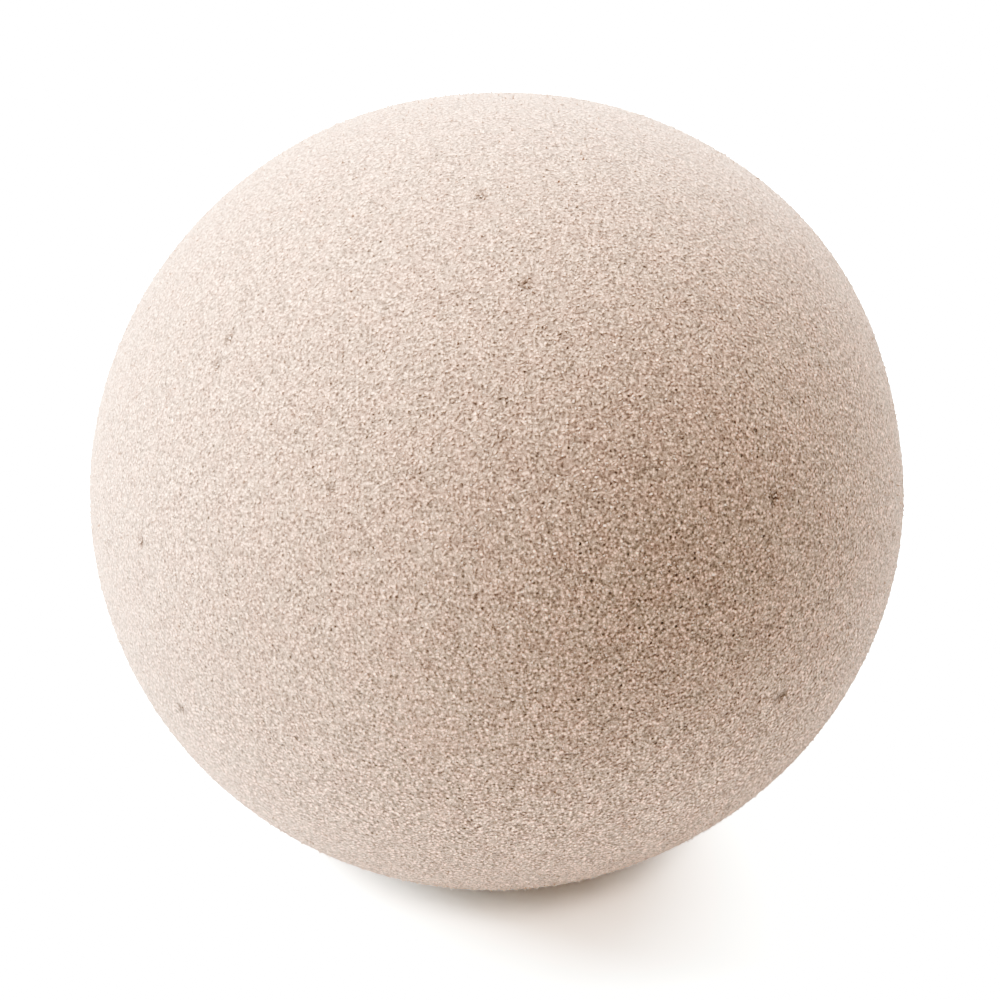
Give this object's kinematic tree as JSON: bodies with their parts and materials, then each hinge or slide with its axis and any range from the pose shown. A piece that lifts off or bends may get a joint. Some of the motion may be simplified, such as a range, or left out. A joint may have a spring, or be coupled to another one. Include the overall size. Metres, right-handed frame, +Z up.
{
  "type": "floral foam ball",
  "caption": "Solid ball of dry floral foam with a small flat to stand on, for pushing dry or silk flower stems into.",
  "frame": {"origin": "centre of the rest flat under the ball, at the bottom of the bounding box", "axes": "+Z up through the crown, along the axis that the ball is turned about; X and Y are level and alike"},
  "size_m": [0.09, 0.09, 0.0848],
  "materials": {
    "foam": "dull pinkish taupe open-cell rigid foam, grain about 0.6 mm apart, cut surface"
  },
  "bodies": {
    "root": {"foam_ball": "foam"}
  },
  "joints": []
}
